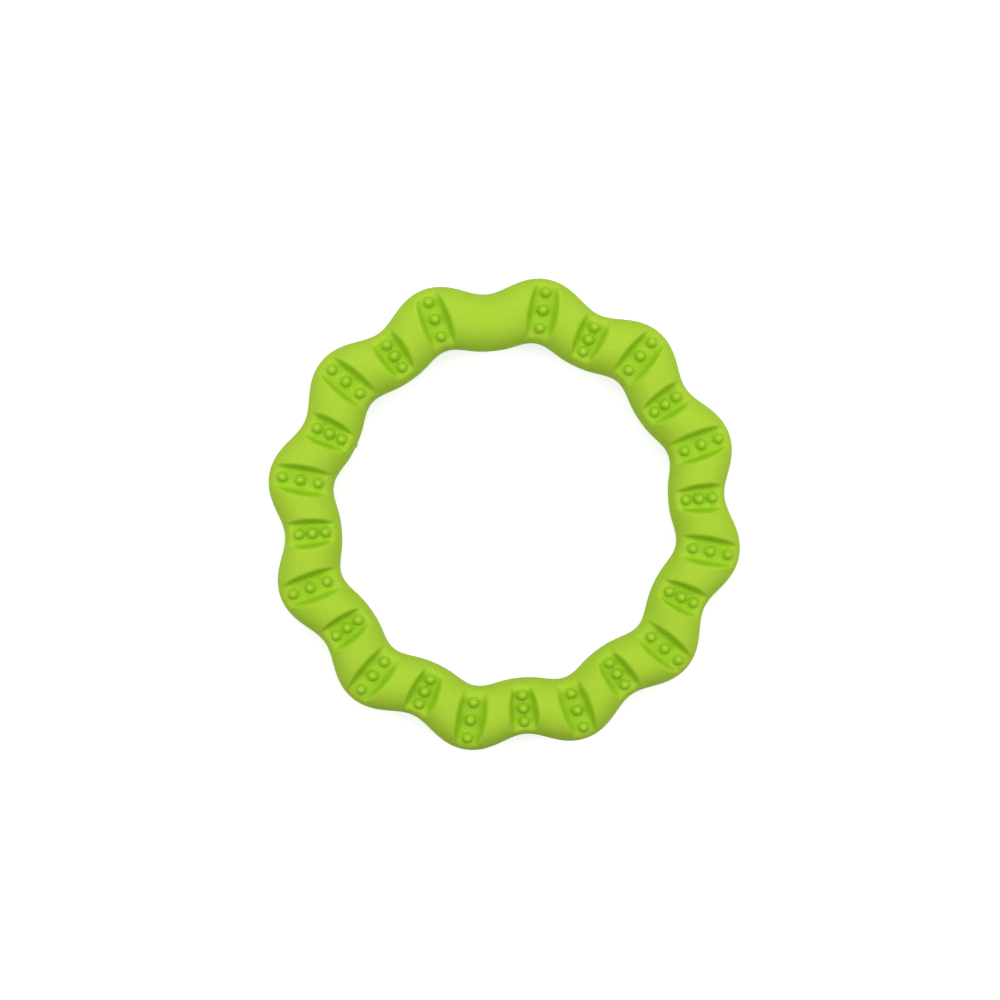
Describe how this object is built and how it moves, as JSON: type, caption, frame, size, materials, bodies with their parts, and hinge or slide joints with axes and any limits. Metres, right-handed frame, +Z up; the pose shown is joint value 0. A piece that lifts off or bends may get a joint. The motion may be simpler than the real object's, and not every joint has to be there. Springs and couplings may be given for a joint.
{
  "type": "teething ring",
  "caption": "Soft wavy teething ring: a rounded rubber band round an open middle, with sunk cross panels that each hold a row of raised beads.",
  "frame": {"origin": "on the ring's axis, at the level of the lower face that it lies on", "axes": "+Z up along the ring's axis, +Y out through the middle of the one trough without a panel"},
  "size_m": [0.107, 0.107, 0.013],
  "materials": {
    "soft_rubber": "satin, very fine mould grain",
    "core_rubber": "matte",
    "bond_rubber": "satin"
  },
  "bodies": {
    "root": {"upper_shell": "soft_rubber", "lower_shell": "soft_rubber", "core_ring": "core_rubber", "inner_bond_strip": "bond_rubber", "outer_bond_strip": "bond_rubber"}
  },
  "joints": []
}
